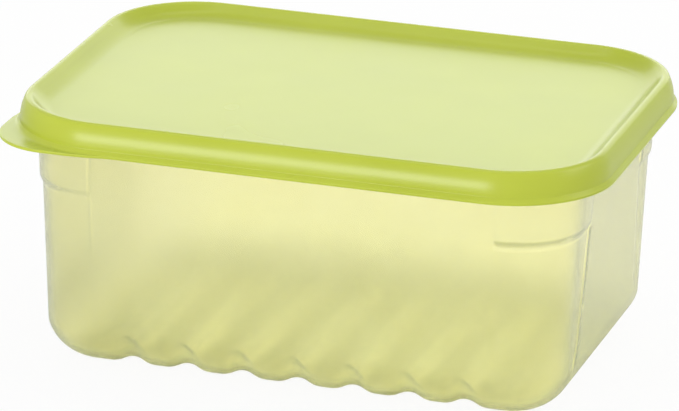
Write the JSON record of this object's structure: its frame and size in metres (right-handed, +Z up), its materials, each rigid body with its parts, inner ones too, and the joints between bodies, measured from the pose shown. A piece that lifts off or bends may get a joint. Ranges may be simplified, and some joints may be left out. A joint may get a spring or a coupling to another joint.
{
  "type": "food storage container with lid",
  "caption": "Rectangular food storage container: translucent tub with rounded corners and a corrugated floor, closed by a press-on lid with a corner pull tab.",
  "frame": {"origin": "middle of the container on the surface it stands on, at the undersides of the floor's bumps", "axes": "+X along the long side, +Z up, -Y the long side that faces a viewer who has the pull tab at the left"},
  "size_m": [0.2513, 0.1813, 0.1101],
  "materials": {
    "tub": "translucent natural polypropylene, injection moulded, satin",
    "lid": "lime green polyethylene, injection moulded, satin"
  },
  "bodies": {
    "root": {"tub": "tub", "lid": "lid"}
  },
  "joints": []
}
